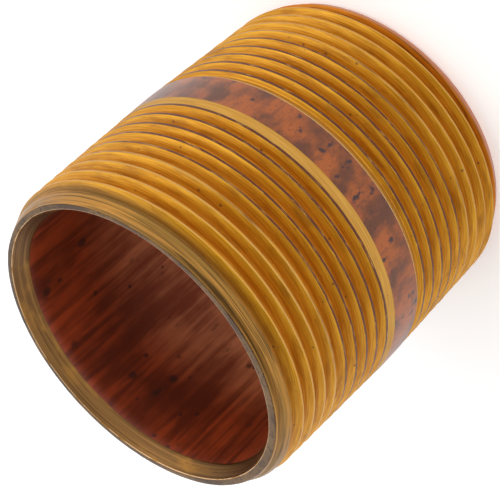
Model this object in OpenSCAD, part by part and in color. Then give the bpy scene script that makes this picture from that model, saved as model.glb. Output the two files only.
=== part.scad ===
// Pipe nipple with an external taper pipe thread on both ends.
// Millimetres, +Z along the bore, origin in the middle of the lower end face.

/* [Pipe] */
// Outside diameter of the pipe
pipe_od = 48.26; // [48.1:0.02:48.3]
// Wall thickness of the pipe
wall = 3.81; // [3.6:0.01:4.0]
// Length over both end faces
length = 50.8; // [50.8:12.7:152.4]

/* [Thread] */
// Turns of thread in 25.4 mm
turns_per_inch = 11.5; // [11:0.5:12]
// Pitch diameter of the thread at the end face
pitch_diameter = 45.62; // [45.5:0.01:45.7]
// Length of the thread on each end, up to the plain band
thread_length = 22.97; // [20:0.01:23]

/* [Ends] */
// Depth of the chamfer outside each end
chamfer_depth = 2.7; // [2:0.1:3]
// Depth of the reamed cone inside each end
ream_depth = 2.1; // [1:0.1:3]
// How much the reamed cone adds to the radius of the bore at the end face
ream_width = 1.03; // [0.8:0.01:1.1]
// Width of the flat end face, between the chamfer and the reamed cone
face_width = 0.98; // [0.9:0.01:1]

/* [Hidden] */
red_brass = "#c8912f";

pipe_r = pipe_od / 2;
bore_r = pipe_r - wall;
face_inner_r = bore_r + ream_width;
face_outer_r = face_inner_r + face_width;

// Thread form: a 60 degree V on a cone that grows 1 in 16 on its diameter.
pitch = 25.4 / turns_per_inch;
radial_taper = 1 / 32;
flank_slope = tan(30);
crest_flat = 0.1 * pitch;
root_flat = 0.04 * pitch;
addendum = (pitch / 2 - crest_flat) / 2 / flank_slope;
dedendum = (pitch / 2 - root_flat) / 2 / flank_slope;
clearance = 0.08;

// The last turn beside the plain band is a shallow ramp, cut by the lead of the die.
ramp_slope = tan(30);
ramp_reach = 0.33 * pitch;
fade_angle = 30;

// Helix of the upper groove, from the plain band to beyond the end face.
segments_per_turn = 54;
step = 360 / segments_per_turn;
start_angle = 90;
start_z = length - thread_length + ramp_reach - pitch / 2;
sections = ceil(((length - start_z) / pitch + 0.7) * segments_per_turn);

// Angle of the horizontal axis about which the upper end turns over onto the lower one.
turnover_angle = 110;

function pitch_radius(z) = pitch_diameter / 2 + (length - z) * radial_taper;

function clamp01(x) = max(0, min(1, x));

// Cross section of the V groove centred on the height z: four [radius, height] corners.
function v_section(z) =
    let (
        root_r = pitch_radius(z) - dedendum,
        outer_r = pitch_radius(z) + addendum + clearance,
        half_root = root_flat / 2,
        half_mouth = half_root + (outer_r - root_r) * flank_slope
    )
    [
        [root_r, z - half_root],
        [root_r, z + half_root],
        [outer_r, z + half_mouth],
        [outer_r, z - half_mouth]
    ];

// Cross section of the ramped groove: it rises to the pipe's surface on the side of the band.
// depth is 0 where the groove lies clear of the pipe and 1 where it is cut in fully.
function ramp_section(z, depth) =
    let (
        mouth = v_section(z)[2],
        low_z = z - ramp_reach,
        flank_z = mouth[1] - (mouth[0] - pipe_r) * flank_slope,
        run = (flank_z - low_z) / (1 + flank_slope * ramp_slope),
        drop = run * ramp_slope,
        surface_r = pipe_r + (1 - depth) * (drop + clearance)
    )
    [
        [surface_r - drop / 2, low_z + run / 2],
        [surface_r - drop, low_z + run],
        mouth,
        [mouth[0], low_z - (mouth[0] - surface_r) / ramp_slope]
    ];

// Cross section number i of the whole groove: it fades in, ramps for a turn, then is a full V.
function section(i) =
    let (
        angle = i * step,
        z = start_z + angle / 360 * pitch,
        depth = clamp01(angle / fade_angle),
        fullness = clamp01((angle - 360 + fade_angle) / (2 * fade_angle))
    )
    (1 - fullness) * ramp_section(z, depth) + fullness * v_section(z);

// Corner [radius, height] placed round the pipe at cross section number i.
function around(corner, i) =
    let (angle = start_angle + i * step)
    [corner[0] * cos(angle), corner[0] * sin(angle), corner[1]];

// The solid that cuts the helical groove of the upper end.
module groove_cutter() {
    points = [for (i = [0:sections]) for (corner = section(i)) around(corner, i)];
    skin = [
        for (i = [0:sections - 1])
            for (k = [0:3])
                let (
                    a = 4 * i + k,
                    b = 4 * i + (k + 1) % 4
                )
                each [[a, a + 4, b], [b, a + 4, b + 4]]
    ];
    first_cap = [[0, 1, 2], [0, 2, 3]];
    last_cap = [for (face = first_cap) [face[2], face[1], face[0]] + 4 * sections * [1, 1, 1]];
    polyhedron(points, concat(skin, first_cap, last_cap));
}

// Its children, on the upper end and turned over onto the lower end.
module on_both_ends() {
    children();
    translate([0, 0, length])
        rotate([180, 0, 2 * turnover_angle])
            children();
}

// The pipe before threading: bored, reamed, chamfered and turned to the cone of the crests.
// That cone is slimmer than the thread's, so the flats on the crests widen towards the band.
module blank() {
    cone_depth = thread_length + 0.55 * pitch;
    chamfer_top_r = pitch_radius(length - chamfer_depth) + addendum;
    rotate_extrude($fn = 96)
        polygon([
            [face_inner_r, 0],
            [face_outer_r, 0],
            [chamfer_top_r, chamfer_depth],
            [pipe_r, cone_depth],
            [pipe_r, length - cone_depth],
            [chamfer_top_r, length - chamfer_depth],
            [face_outer_r, length],
            [face_inner_r, length],
            [bore_r, length - ream_depth],
            [bore_r, ream_depth]
        ]);
}

module nipple() {
    color(red_brass)
        difference() {
            blank();
            on_both_ends() groove_cutter();
        }
}

nipple();
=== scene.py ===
"""A short red brass pipe nipple with a taper pipe thread on both ends, on a pale studio floor."""

import math

import bmesh
import bpy
import numpy as np
from mathutils import Matrix, Vector


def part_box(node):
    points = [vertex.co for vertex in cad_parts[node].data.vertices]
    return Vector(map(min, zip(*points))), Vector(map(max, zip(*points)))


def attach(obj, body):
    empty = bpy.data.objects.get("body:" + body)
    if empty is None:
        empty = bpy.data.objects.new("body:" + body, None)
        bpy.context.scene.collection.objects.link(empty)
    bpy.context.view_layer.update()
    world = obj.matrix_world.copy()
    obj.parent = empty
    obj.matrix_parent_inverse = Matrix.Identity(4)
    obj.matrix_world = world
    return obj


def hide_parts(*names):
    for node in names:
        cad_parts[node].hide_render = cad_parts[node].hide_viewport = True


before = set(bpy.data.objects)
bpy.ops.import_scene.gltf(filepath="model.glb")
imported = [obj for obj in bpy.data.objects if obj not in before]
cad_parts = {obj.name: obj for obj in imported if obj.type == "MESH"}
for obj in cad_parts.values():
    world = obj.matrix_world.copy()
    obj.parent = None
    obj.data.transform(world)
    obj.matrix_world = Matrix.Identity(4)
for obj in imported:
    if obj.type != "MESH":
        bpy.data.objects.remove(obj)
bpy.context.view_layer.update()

# ---------------------------------------------------------------- dimensions, in millimetres
MM = 0.001
NODE = "nipple"
cad_low, cad_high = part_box(NODE)
LENGTH = (cad_high.z - cad_low.z) / MM
PIPE_R = 48.26 / 2
WALL = 3.81
BORE_R = PIPE_R - WALL

# The reamed cone sits a little off centre, towards this angle round the pipe.
REAM_DEPTH = 2.1
REAM_WIDTH = 1.03
REAM_R = BORE_R + REAM_WIDTH
REAM_SHIFT = 0.3
REAM_SHIFT_ANGLE = math.radians(60)
RIM_EDGE = 0.1
FACE_WIDTH = 0.98
FACE_OUTER_R = REAM_R + FACE_WIDTH
CHAMFER_DEPTH = 2.7

# The thread is a 60 degree V on a cone that grows 1 in 16 on its diameter.
PITCH = 25.4 / 11.5
PITCH_R = 45.62 / 2
TAPER = 1 / 32
FLANK_SLOPE = math.tan(math.radians(30))
CREST_FLAT = 0.1 * PITCH
ROOT_FLAT = 0.04 * PITCH
ADDENDUM = (PITCH / 2 - CREST_FLAT) / 2 / FLANK_SLOPE
DEDENDUM = (PITCH / 2 - ROOT_FLAT) / 2 / FLANK_SLOPE
THREAD_LENGTH = 22.97
CONE_DEPTH = THREAD_LENGTH + 0.55 * PITCH

# In its first turn the groove is a shallow ramp. It sinks into the pipe over the first FADE of a turn.
RAMP_SLOPE = math.tan(math.radians(30))
RAMP_REACH = 0.33 * PITCH
RAMP_LIFT = 0.8
FADE = 30 / 360
START_Z = LENGTH - THREAD_LENGTH + RAMP_REACH - PITCH / 2
START_ANGLE = math.radians(90)
# The lower end is the upper one turned over about the horizontal axis at this angle.
TURNOVER_ANGLE = math.radians(110)

# A groove shallower than CUT_DEPTH leaves the skin on. EDGE rounds the edges of the crests.
CUT_DEPTH = 0.01
EDGE = 0.035
CREST_WEAR = 0.04
# Knocks: angle in degrees, depth from the end, size round the pipe, size along it, how deep.
DENTS = [
    (226, 1.6, 0.5, 0.18, 0.12),
    (248, 6.2, 0.7, 0.2, 0.1),
    (281, 14.9, 0.5, 0.25, 0.12),
    (305, 9.0, 0.4, 0.2, 0.1),
]

# The outside has this many columns round the pipe, and rows across each turn of the groove. The first
# RAMP_ROWS of a turn lie on its ramp. The turns of the grid reach past the middle and past the end.
COLUMNS = 252
ROWS = 13
RAMP_ROWS = 7
FIRST_TURN = -3
LAST_TURN = 12

FACE_RINGS = 4
REAM_RINGS = 7
BORE_RINGS = 13

# Points closer together than this become one, inside each half and where the halves meet.
WELD = 1e-5
MIDDLE_WELD = 1e-3

# The attribute of the mesh that is 1 on the ramp and 0 on the full thread.
LEAD = "lead"
ZONES = ["thread", "crest", "skin", "chamfer", "face", "edge", "ream", "bore"]


# ---------------------------------------------------------------- shape
def blank_radius(z):
    """Radius of the unthreaded outside at the height z of the upper end."""
    chamfer_r = PITCH_R + CHAMFER_DEPTH * TAPER + ADDENDUM
    return np.interp(LENGTH - z, [0, CHAMFER_DEPTH, CONE_DEPTH], [FACE_OUTER_R, chamfer_r, PIPE_R])


def root_radius(z):
    """Radius of the bottom of a full groove."""
    return PITCH_R + (LENGTH - z) * TAPER - DEDENDUM


def nearest_groove(turn, z):
    """Turn count and axial offset of the groove centre nearest to z, at the angle turn (0 to 1)."""
    u = (z - START_Z) / PITCH - turn
    k = np.round(u)
    return turn + k, (u - k) * PITCH


def ramp_lift(count):
    """How far the ramped groove is still lifted off its full depth, in its first degrees."""
    return (1 - np.clip(count / FADE, 0, 1)) * RAMP_LIFT


def fullness(count):
    """0 while the groove is a ramp, 1 where it is a full V."""
    return np.clip((count - 1 + FADE) / (2 * FADE), 0, 1)


def groove_radius(count, offset):
    """Radius of the groove's surface: a shallow ramp in the first turn, then a full V."""
    root = root_radius(START_Z + count * PITCH)
    v = root + np.maximum(0, np.abs(offset) - ROOT_FLAT / 2) / FLANK_SLOPE
    lift = ramp_lift(count)
    upper_flank = root + (offset - ROOT_FLAT / 2) / FLANK_SLOPE
    ramp = np.maximum(PIPE_R - (offset + RAMP_REACH) * RAMP_SLOPE, upper_flank) + lift
    full = fullness(count)
    return (1 - full) * ramp + full * v


def smooth_min(a, b, width):
    """The smaller of two radii, with the corner between them rounded over that width."""
    share = np.clip(0.5 + 0.5 * (b - a) / width, 0, 1)
    return b * (1 - share) + a * share - width * share * (1 - share)


def crest_wear(turn, z):
    """Unevenness of the crests: waves round the pipe that drift along it and die out at the band."""
    random = np.random.default_rng(7)
    waves = 0
    for number in (2, 5, 9, 17, 31, 58):
        drift = random.uniform(-3, 3)
        start = random.uniform(0, 2 * math.pi)
        waves = waves + np.sin(2 * math.pi * number * turn + drift * z + start)
    off_band = np.clip((CONE_DEPTH - (LENGTH - z)) / PITCH, 0, 1)
    return CREST_WEAR * np.clip(0.5 + waves / 5, 0, 1) * off_band


def dents(turn, z):
    """Depth of the few knocks on the crests and the chamfer."""
    total = 0
    for angle, depth, across, along, deep in DENTS:
        away = (turn * 360 + math.degrees(START_ANGLE) - angle + 180) % 360 - 180
        arc = np.radians(away) * PIPE_R
        total = total + deep * np.exp(-(arc / across) ** 2 - ((LENGTH - z - depth) / along) ** 2)
    return total


def outer_radius(turn, z):
    """Radius of the finished outside: the worn blank less the groove and the knocks."""
    blank = blank_radius(z) - crest_wear(turn, z)
    return smooth_min(blank, groove_radius(*nearest_groove(turn, z)), EDGE) - dents(turn, z)


def mouth(count, side):
    """Distance from the groove's centre to its edge, on the upper (1) or lower (-1) side."""
    z = START_Z + count * PITCH
    reach = np.full_like(count, PITCH / 2)
    # The blank tapers, so its radius at the edge depends on the reach. A few rounds settle it.
    for _ in range(6):
        reach = ROOT_FLAT / 2 + (blank_radius(z + side * reach) - root_radius(z)) * FLANK_SLOPE
    return np.clip(reach, ROOT_FLAT, PITCH / 2 - 2 * EDGE)


def spread(start, end, parts):
    """Offsets that part the way from start to end evenly, without its ends."""
    return [start + (end - start) * i / parts for i in range(1, parts)]


def row_offsets(count):
    """Axial offsets of the ROWS points across each turn of the groove, from crest to crest."""
    half = np.full_like(count, PITCH / 2)
    root = np.full_like(count, ROOT_FLAT / 2)
    up = mouth(count, 1)
    down = -mouth(count, -1)
    v = [-half, down - EDGE, down, down + EDGE, *spread(down + EDGE, -root, 3), -root]
    v += [root, *spread(root, up - EDGE, 3), up - EDGE, up, up + EDGE]

    lift = ramp_lift(count)
    foot = (up + RAMP_REACH) / (1 + FLANK_SLOPE * RAMP_SLOPE) - RAMP_REACH
    start = np.minimum(lift / RAMP_SLOPE - RAMP_REACH, foot - 3 * EDGE)
    stop = np.maximum(up - lift * FLANK_SLOPE, foot + 3 * EDGE)
    ramp = [-half, start - EDGE, start, start + EDGE]
    ramp += [*spread(start + EDGE, foot - EDGE, 3), foot - EDGE, foot + EDGE]
    ramp += [*spread(foot + EDGE, stop - EDGE, 3), stop - EDGE, stop, stop + EDGE]

    full = fullness(count)
    return (1 - full) * np.stack(ramp) + full * np.stack(v)


def zone_of(turn, z):
    """Index in ZONES of the outside surface at these places."""
    count, offset = nearest_groove(turn, z)
    cut = groove_radius(count, offset) < blank_radius(z) - CUT_DEPTH
    # Below the lowest groove there is only skin. The groove counts once it has faded in.
    lowest_groove = START_Z + (turn + (turn < FADE)) * PITCH
    uncut = np.where(LENGTH - z < CHAMFER_DEPTH, ZONES.index("chamfer"), ZONES.index("crest"))
    uncut = np.where(z < lowest_groove, ZONES.index("skin"), uncut)
    return np.where(cut, ZONES.index("thread"), uncut)


def add_outside(bm):
    """The upper half of the outside as one helical grid, cut off at the middle and at the end face."""
    turn = np.arange(COLUMNS) / COLUMNS
    count = np.arange(FIRST_TURN, LAST_TURN + 1)[:, None] + turn
    z = START_Z + count * PITCH + row_offsets(count)
    z = np.clip(z.transpose(1, 0, 2).reshape(-1, COLUMNS), LENGTH / 2, LENGTH)
    r = outer_radius(turn, z)
    angle = START_ANGLE + 2 * math.pi * turn
    points = np.stack([r * np.cos(angle), r * np.sin(angle), z], axis=-1)
    on_ramp = np.arange(ROWS)[:, None] < RAMP_ROWS
    lead = ((1 - fullness(count))[:, None] * on_ramp).reshape(-1, COLUMNS)
    layer = bm.verts.layers.float.new(LEAD)
    verts = [[bm.verts.new(point) for point in row] for row in points]
    for row, values in zip(verts, lead):
        for vert, value in zip(row, values):
            vert[layer] = value
    rows = len(verts)

    def ahead(i, j):
        """The next point round: the last column meets the first one a whole turn higher."""
        if j + 1 < COLUMNS:
            return verts[i][j + 1]
        return verts[i + ROWS][0] if i + ROWS < rows else None

    z_wrapped = np.pad(z[ROWS:, :1], ((0, ROWS), (0, 0)), mode="edge")
    z_next = np.concatenate([z[:, 1:], z_wrapped], axis=1)
    z_mid = (z[:-1] + z[1:] + z_next[:-1] + z_next[1:]) / 4
    zone = zone_of(turn + 0.5 / COLUMNS, z_mid)
    for i in range(rows - 1):
        for j in range(COLUMNS):
            right = ahead(i, j)
            above_right = ahead(i + 1, j)
            if right and above_right:
                face = bm.faces.new((verts[i][j], right, above_right, verts[i + 1][j]))
                face.material_index = int(zone[i, j])


def add_inside(bm):
    """The upper half of the end face, reamed cone and bore."""
    turn = np.arange(COLUMNS) / COLUMNS
    angle = START_ANGLE + 2 * math.pi * turn
    rim = outer_radius(turn, np.full(COLUMNS, LENGTH))
    mouth_r = REAM_R + REAM_SHIFT * np.cos(angle - REAM_SHIFT_ANGLE)
    face_r = mouth_r + RIM_EDGE
    cone_top = LENGTH - RIM_EDGE
    cone_foot = LENGTH - REAM_DEPTH

    # Each ring has its radius, its height and the zone between it and the ring before.
    rings = [(rim, LENGTH, "face")]
    for part in np.arange(1, FACE_RINGS + 1) / FACE_RINGS:
        rings.append((rim + (face_r - rim) * part, LENGTH, "face"))
    rings.append((mouth_r + RIM_EDGE * 0.3, LENGTH - RIM_EDGE * 0.3, "edge"))
    rings.append((mouth_r, cone_top, "edge"))
    for part in np.arange(1, REAM_RINGS + 1) / REAM_RINGS:
        z = cone_top + (cone_foot - cone_top) * part
        rings.append((mouth_r + (BORE_R - mouth_r) * part, z, "ream"))
    for z in np.linspace(cone_foot, LENGTH / 2, BORE_RINGS + 1)[1:]:
        rings.append((BORE_R, z, "bore"))

    circles = []
    for r, z, _ in rings:
        radii = np.broadcast_to(r, COLUMNS)
        points = [(radius * math.cos(t), radius * math.sin(t), z) for radius, t in zip(radii, angle)]
        circles.append([bm.verts.new(point) for point in points])
    for outer, inner, (_, _, zone) in zip(circles, circles[1:], rings[1:]):
        for j in range(COLUMNS):
            n = (j + 1) % COLUMNS
            face = bm.faces.new((inner[j], inner[n], outer[n], outer[j]))
            face.material_index = ZONES.index(zone)


def build_nipple(materials):
    """The whole nipple: the upper half and the same mesh turned over, joined in the middle."""
    half = bmesh.new()
    add_outside(half)
    add_inside(half)
    bmesh.ops.remove_doubles(half, verts=half.verts, dist=WELD)
    upper = bpy.data.meshes.new("upper_half")
    half.to_mesh(upper)
    half.free()

    whole = bmesh.new()
    whole.from_mesh(upper)
    axis = Vector((math.cos(TURNOVER_ANGLE), math.sin(TURNOVER_ANGLE), 0))
    upper.transform(Matrix.Translation((0, 0, LENGTH)) @ Matrix.Rotation(math.pi, 4, axis))
    whole.from_mesh(upper)
    bpy.data.meshes.remove(upper)
    bmesh.ops.remove_doubles(whole, verts=whole.verts, dist=MIDDLE_WELD)
    bmesh.ops.recalc_face_normals(whole, faces=whole.faces)
    bmesh.ops.scale(whole, vec=(MM, MM, MM), verts=whole.verts)
    for face in whole.faces:
        face.smooth = True
    mesh = bpy.data.meshes.new("brass_nipple")
    whole.to_mesh(mesh)
    whole.free()
    for material in materials:
        mesh.materials.append(material)
    nipple = bpy.data.objects.new("brass_nipple", mesh)
    bpy.context.scene.collection.objects.link(nipple)
    return nipple


# ---------------------------------------------------------------- materials
def srgb(red, green, blue):
    """Linear colour from the usual 0 to 255 values."""
    return tuple((c / 255) ** 2.2 for c in (red, green, blue)) + (1,)


OIL_FILM = 0.2
OIL_ROUGHNESS = 0.3

ORANGE = srgb(180, 108, 4)
BROWN = srgb(124, 70, 8)
GOLD = srgb(196, 138, 14)
PALE_GOLD = srgb(214, 168, 60)
WORN_CREST = srgb(184, 140, 74)
OLD_SKIN = srgb(92, 54, 40)
STRIP_DARK = srgb(166, 120, 46)
STRIP_LIGHT = srgb(182, 138, 64)
STRIP_HIGHLIGHT = srgb(206, 176, 130)

SKIN_BROWN = srgb(86, 44, 18)
SKIN_ORANGE = srgb(146, 74, 20)
SKIN_STREAK = srgb(90, 46, 34)
SKIN_STAIN = srgb(54, 30, 30)

SALMON_REFLECTION = srgb(190, 126, 92)
TAN = srgb(158, 112, 52)
OLIVE = srgb(124, 92, 42)
GREY_BROWN = srgb(66, 44, 26)
BURNISHED = srgb(196, 158, 116)

FACE_DARK = srgb(72, 51, 33)
FACE_LIGHT = srgb(108, 81, 49)
FACE_GRAIN = srgb(56, 40, 27)
REAM_DARK = srgb(90, 62, 32)
REAM_LIGHT = srgb(114, 82, 44)
REAM_PATCH = srgb(140, 98, 44)

BORE_DARK = srgb(88, 34, 14)
BORE_RED = srgb(148, 60, 26)
BORE_PAINTED_LIGHT_DARK = srgb(170, 86, 54)
BORE_PAINTED_LIGHT_PALE = srgb(246, 162, 112)
BORE_STAIN = srgb(48, 28, 24)


class Surface:
    """A metal surface described by nodes. Sizes are in millimetres. Values are sockets or numbers."""

    def __init__(self, name):
        self.material = bpy.data.materials.new(name)
        self.material.use_nodes = True
        self.tree = self.material.node_tree
        self.shader = self.tree.nodes["Principled BSDF"]
        place = self.node("ShaderNodeTexCoord").outputs["Object"]
        to_mm = self.node("ShaderNodeVectorMath", {0: place, 3: 1 / MM}, operation="SCALE")
        self.place = to_mm.outputs[0]
        x, y, z = self.node("ShaderNodeSeparateXYZ", {0: self.place}).outputs
        flat = self.node("ShaderNodeCombineXYZ", {0: x, 1: y}).outputs[0]
        from_axis = self.node("ShaderNodeVectorMath", {0: flat}, operation="LENGTH")
        self.radius = from_axis.outputs["Value"]
        self.height = z
        from_middle = self.math("ABSOLUTE", self.math("SUBTRACT", z, LENGTH / 2))
        self.depth = self.math("SUBTRACT", LENGTH / 2, from_middle)

    def lower_end(self):
        """1 on the lower half of the pipe, 0 on the upper."""
        return self.smooth(self.height, LENGTH / 2 + 1, LENGTH / 2 - 1)

    def node(self, kind, inputs=None, **settings):
        """A new node with these settings, and its inputs set or linked by name or number."""
        node = self.tree.nodes.new(kind)
        for name, value in settings.items():
            setattr(node, name, value)
        for key, value in (inputs or {}).items():
            self.put(node.inputs[key], value)
        return node

    def put(self, socket, value):
        if isinstance(value, bpy.types.NodeSocket):
            self.tree.links.new(value, socket)
        else:
            socket.default_value = value

    def math(self, operation, a, b=0.0):
        return self.node("ShaderNodeMath", {0: a, 1: b}, operation=operation).outputs[0]

    def smooth(self, value, low, high):
        """0 at low and below, 1 at high and above."""
        inputs = {"Value": value, "From Min": low, "From Max": high}
        return self.node("ShaderNodeMapRange", inputs, interpolation_type="SMOOTHSTEP").outputs[0]

    def scaled(self, across, along, seed):
        """The place on the surface, scaled to features that big round the pipe and along it."""
        scale = (1 / across, 1 / across, 1 / along)
        shift = (seed * 7.3, seed * 3.1, seed)
        inputs = {"Vector": self.place, "Scale": scale, "Location": shift}
        return self.node("ShaderNodeMapping", inputs).outputs[0]

    def noise(self, across, along, seed, detail=3.0):
        """Soft cloudy noise between 0 and 1."""
        place = self.scaled(across, along, seed)
        inputs = {"Vector": place, "Scale": 1.0, "Detail": detail, "Roughness": 0.55}
        return self.node("ShaderNodeTexNoise", inputs).outputs["Fac"]

    def spots(self, across, along, size, seed):
        """1 inside round spots scattered about the surface, 0 outside."""
        inputs = {"Vector": self.scaled(across, along, seed), "Scale": 1.0, "Randomness": 1.0}
        distance = self.node("ShaderNodeTexVoronoi", inputs).outputs["Distance"]
        return self.math("SUBTRACT", 1.0, self.smooth(distance, size * 0.6, size))

    def mix(self, factor, a, b):
        return self.node("ShaderNodeMix", {0: factor, 6: a, 7: b}, data_type="RGBA").outputs[2]

    def finish(self, colour, roughness, metallic=1.0, height=None, relief=0.02):
        """Joins everything to the shader. The relief is the height of the bump, in millimetres."""
        self.shader.inputs["Coat Weight"].default_value = OIL_FILM
        self.shader.inputs["Coat Roughness"].default_value = OIL_ROUGHNESS
        self.put(self.shader.inputs["Base Color"], colour)
        self.put(self.shader.inputs["Roughness"], roughness)
        self.put(self.shader.inputs["Metallic"], metallic)
        if height is not None:
            inputs = {"Height": height, "Distance": relief * MM, "Strength": 1.0}
            self.put(self.shader.inputs["Normal"], self.node("ShaderNodeBump", inputs).outputs[0])
        return self.material


def turned(s, seed):
    """Fine lines round the pipe, as left by a cutting tool."""
    fine = s.noise(5, 0.07, seed, detail=3)
    broad = s.noise(12, 0.3, seed + 1, detail=2)
    return s.math("ADD", s.math("MULTIPLY", fine, 0.7), s.math("MULTIPLY", broad, 0.3))


def chamfer_colour(s):
    """Rings left by the chamfering tool: tan and olive on the upper end, and on the lower end brown to
    orange with a salmon outer edge, a painted reflection.
    """
    rings = s.math("ADD", s.noise(22, 0.3, 31), s.math("MULTIPLY", s.noise(6, 0.08, 32), 0.5))
    tan = s.mix(s.smooth(rings, 0.62, 0.86), OLIVE, TAN)
    lines = s.smooth(s.noise(14, 0.16, 33, detail=3), 0.39, 0.47)
    upper = s.mix(lines, s.mix(0.5, GREY_BROWN, OLIVE), tan)
    # Painted reflection: the lower chamfer is brown to orange, with salmon towards its outer edge.
    lower = s.mix(s.smooth(s.depth, 1.1, 0.7), s.mix(lines, BROWN, ORANGE), SALMON_REFLECTION)
    return s.mix(s.lower_end(), upper, lower)


def brass_colour(s):
    """Cut red brass, uneven all over, with painted shade: deep orange in the roots of the groove,
    golden towards the crests.
    """
    # Painted shade: the colour darkens from gold at the crests to deep orange in the roots.
    height = s.math("SUBTRACT", s.radius, s.math("ADD", s.math("MULTIPLY", s.depth, TAPER), PITCH_R))
    gold = s.mix(s.smooth(height, -0.9, 0.9), ORANGE, GOLD)
    lines = s.smooth(turned(s, 1), 0.4, 0.6)
    streaked = s.mix(lines, s.mix(0.3, gold, BROWN), s.mix(0.3, gold, PALE_GOLD))
    clouds = s.smooth(s.noise(6, 0.7, 6, detail=4), 0.5, 0.7)
    uneven = s.mix(clouds, streaked, s.mix(0.45, streaked, BROWN))
    near_end = s.smooth(s.depth, CHAMFER_DEPTH + 0.5, CHAMFER_DEPTH - 0.5)
    return s.mix(near_end, uneven, chamfer_colour(s))


def strip_colour(s):
    """The smooth ramp of the first turn, with a painted highlight along its outer edge on the lower
    end.
    """
    gold = s.mix(s.smooth(turned(s, 4), 0.4, 0.6), STRIP_DARK, STRIP_LIGHT)
    # Painted highlight: a pale line where the ramp meets the band, on the lower end only.
    painted_edge_highlight = s.math("MULTIPLY", s.smooth(s.radius, PIPE_R - 0.16, PIPE_R - 0.04), s.lower_end())
    return s.mix(painted_edge_highlight, gold, STRIP_HIGHLIGHT)


def thread():
    """Flanks and roots of the thread, flecked with leftovers of the skin."""
    s = Surface("cut_threads")
    lead = s.node("ShaderNodeAttribute", attribute_name=LEAD).outputs["Fac"]
    cut = s.mix(s.smooth(lead, 0.1, 0.9), brass_colour(s), strip_colour(s))
    flecks = s.smooth(s.noise(0.9, 0.16, 3, detail=4), 0.66, 0.74)
    specks = s.math("MAXIMUM", s.spots(3.1, 1.9, 0.09, 3), s.math("MULTIPLY", flecks, 0.8))
    colour = s.mix(s.math("MULTIPLY", specks, 0.7), cut, OLD_SKIN)
    roughness = s.node("ShaderNodeMapRange", {0: s.noise(6, 0.5, 9), 3: 0.44, 4: 0.6}).outputs[0]
    return s.finish(colour, roughness, metallic=0.85, height=turned(s, 2), relief=0.02)


def crest():
    """Flats on the crests: bare near the ends, with the old skin left on them towards the band."""
    s = Surface("thread_crests")
    reach = s.math("ADD", s.depth, s.math("MULTIPLY", s.noise(7, 1.5, 11), 7))
    broken = s.smooth(s.noise(2.2, 0.13, 13), 0.3, 0.42)
    old = s.math("MULTIPLY", s.smooth(reach, 13, 16), broken)
    bare = s.mix(s.smooth(s.noise(3, 0.1, 14), 0.34, 0.46), GOLD, WORN_CREST)
    return s.finish(s.mix(old, bare, OLD_SKIN), 0.5, height=turned(s, 12), relief=0.02)


def skin():
    """The band of mill skin: brown to orange, blotched, with small black stains."""
    s = Surface("mill_skin")
    patches = s.noise(4.5, 5.5, 21, detail=4)
    streaks = s.noise(0.7, 7, 22, detail=3)
    brown = s.mix(s.smooth(patches, 0.38, 0.62), SKIN_BROWN, SKIN_ORANGE)
    streaked = s.mix(s.math("MULTIPLY", s.smooth(streaks, 0.5, 0.7), 0.45), brown, SKIN_STREAK)
    grain = s.math("MULTIPLY", s.smooth(s.noise(0.35, 0.5, 24, detail=4), 0.56, 0.7), 0.6)
    stains = s.smooth(s.noise(1.7, 2.0, 23, detail=4), 0.6, 0.7)
    colour = s.mix(s.math("MAXIMUM", grain, stains), streaked, SKIN_STAIN)
    bumps = s.noise(0.5, 1.5, 25, detail=4)
    return s.finish(colour, 0.38, metallic=0.35, height=bumps, relief=0.04)


def chamfer():
    """The chamfers outside the ends, ringed by the tool."""
    s = Surface("turned_chamfers")
    return s.finish(chamfer_colour(s), 0.42, height=s.noise(16, 0.16, 34), relief=0.04)


def face():
    """The flat end faces, dull and grainy."""
    s = Surface("sawn_faces")
    patches = s.noise(7, 7, 41)
    grain = s.noise(0.5, 0.5, 42, detail=4)
    brown = s.mix(s.smooth(patches, 0.36, 0.64), FACE_DARK, FACE_LIGHT)
    colour = s.mix(s.smooth(grain, 0.5, 0.7), brown, FACE_GRAIN)
    return s.finish(colour, 0.42, height=grain, relief=0.02)


def edge():
    """The rubbed edge between the end face and the reamed cone."""
    s = Surface("burnished_edges")
    return s.finish(s.mix(s.smooth(s.noise(2, 2, 45), 0.35, 0.5), TAN, BURNISHED), 0.5)


def ream():
    """The reamed cones, with the rings of the reamer on them."""
    s = Surface("reamed_cones")
    rings = s.noise(20, 0.22, 51, detail=3)
    tan = s.mix(s.smooth(rings, 0.4, 0.6), REAM_DARK, REAM_LIGHT)
    patches = s.smooth(s.noise(7, 3, 52), 0.5, 0.72)
    return s.finish(s.mix(patches, tan, REAM_PATCH), 0.4, height=rings, relief=0.03)


def bore():
    """The bore: red skin streaked along the pipe, with round dark stains, and painted light that makes
    it paler towards the middle.
    """
    s = Surface("drawn_bore")
    streaks = s.noise(1.0, 14, 61, detail=4)
    patches = s.noise(9, 11, 64, detail=3)
    worn = s.smooth(s.math("MULTIPLY", s.math("ADD", streaks, patches), 0.5), 0.38, 0.64)
    near_end = s.mix(worn, BORE_DARK, BORE_RED)
    # Painted light: towards the middle the bore takes paler, lit copies of its colours.
    middle = s.mix(worn, BORE_PAINTED_LIGHT_DARK, BORE_PAINTED_LIGHT_PALE)
    red = s.mix(s.smooth(s.depth, 10, 30), near_end, middle)
    small = s.spots(3.4, 4.2, 0.12, 63)
    large = s.spots(6.5, 7.5, 0.13, 62)
    stains = s.smooth(s.noise(2.4, 5, 65, detail=4), 0.62, 0.74)
    dark = s.math("MAXIMUM", s.math("MAXIMUM", small, large), stains)
    colour = s.mix(s.math("MULTIPLY", dark, 0.75), red, BORE_STAIN)
    return s.finish(colour, 0.42, metallic=0.25, height=streaks, relief=0.04)


# One material for each of ZONES, in the same order.
MATERIALS = [make() for make in (thread, crest, skin, chamfer, face, edge, ream, bore)]

nipple = build_nipple(MATERIALS)
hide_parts(NODE)
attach(nipple, "root")


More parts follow.
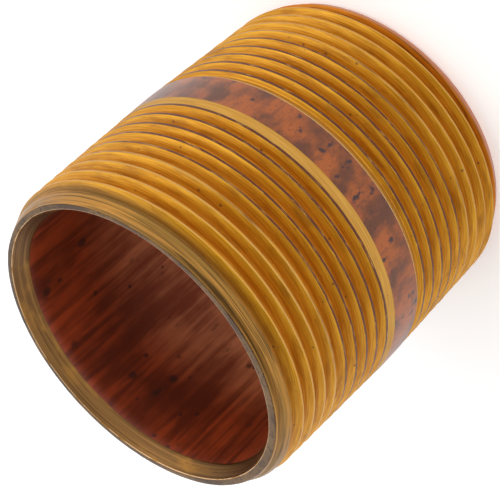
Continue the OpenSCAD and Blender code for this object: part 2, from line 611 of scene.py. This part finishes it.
# ---------------------------------------------------------------- studio
FLOOR_SIZE = 4
FLOOR_WHITE = 0.92
FLOOR_GLOW = 0.2
TENT_BRIGHT = 1.55
TENT_DARK = 0.25
TENT_DARK_WAY = Vector((-0.14, 0.02, 0.99)).normalized()
TENT_DARK_INNER = math.radians(12)
TENT_DARK_OUTER = math.radians(55)
KEY_PLACE = Vector((0.36, -0.06, 0.36))
KEY_SIZE = 0.4
KEY_POWER = 0.5
CAMERA_PLACE = Vector((1.04, -202.8, 165.8)) * MM
CAMERA_AIM = Vector((-0.5, 1.0, 26.8)) * MM
CAMERA_ROLL = math.radians(132.7)
LENS = 130.4
SENSOR = 36


def add_floor():
    """A pale floor that glows a little, so that it stays white beside the nipple."""
    bpy.ops.mesh.primitive_plane_add(size=FLOOR_SIZE, location=(0, 0, 0))
    floor = bpy.context.object
    floor.name = "floor"
    material = bpy.data.materials.new("pale_floor")
    material.use_nodes = True
    shader = material.node_tree.nodes["Principled BSDF"]
    shader.inputs["Base Color"].default_value = (FLOOR_WHITE, FLOOR_WHITE, FLOOR_WHITE, 1)
    shader.inputs["Roughness"].default_value = 0.9
    shader.inputs["Emission Color"].default_value = (1, 1, 1, 1)
    shader.inputs["Emission Strength"].default_value = FLOOR_GLOW
    floor.data.materials.append(material)


def add_sky():
    """A white light tent that is darker overhead."""
    world = bpy.data.worlds.new("tent")
    bpy.context.scene.world = world
    world.use_nodes = True
    nodes = world.node_tree.nodes
    links = world.node_tree.links
    place = nodes.new("ShaderNodeTexCoord")
    toward = nodes.new("ShaderNodeVectorMath")
    toward.operation = "DOT_PRODUCT"
    toward.inputs[1].default_value = TENT_DARK_WAY
    span = nodes.new("ShaderNodeMapRange")
    span.interpolation_type = "SMOOTHSTEP"
    span.inputs["From Min"].default_value = math.cos(TENT_DARK_OUTER)
    span.inputs["From Max"].default_value = math.cos(TENT_DARK_INNER)
    span.inputs["To Min"].default_value = TENT_BRIGHT
    span.inputs["To Max"].default_value = TENT_DARK
    links.new(place.outputs["Generated"], toward.inputs[0])
    links.new(toward.outputs["Value"], span.inputs["Value"])
    links.new(span.outputs["Result"], nodes["Background"].inputs["Strength"])
    nodes["Background"].inputs["Color"].default_value = (1, 1, 1, 1)


def add_key_light():
    """A soft box high on the +X side, which lights the wall of the bore."""
    data = bpy.data.lights.new("key", "AREA")
    data.shape = "DISK"
    data.size = KEY_SIZE
    data.energy = KEY_POWER
    light = bpy.data.objects.new("key", data)
    bpy.context.scene.collection.objects.link(light)
    light.location = KEY_PLACE
    light.rotation_mode = "QUATERNION"
    light.rotation_quaternion = (Vector((0, 0, LENGTH * MM)) - KEY_PLACE).to_track_quat("-Z", "Y")


def add_camera():
    """The camera looks down on the upright nipple and is rolled, so that the nipple seems to lie."""
    data = bpy.data.cameras.new("camera")
    data.sensor_width = SENSOR
    data.lens = LENS
    data.clip_start = 0.01
    data.clip_end = 10
    camera = bpy.data.objects.new("camera", data)
    bpy.context.scene.collection.objects.link(camera)
    toward = (CAMERA_AIM - CAMERA_PLACE).normalized()
    level = toward.to_track_quat("-Z", "Y").to_matrix()
    turn = level @ Matrix.Rotation(-CAMERA_ROLL, 3, "Z")
    camera.matrix_world = Matrix.Translation(CAMERA_PLACE) @ turn.to_4x4()
    bpy.context.scene.camera = camera


add_floor()
add_sky()
add_key_light()
add_camera()
bpy.context.scene.view_settings.view_transform = "Standard"
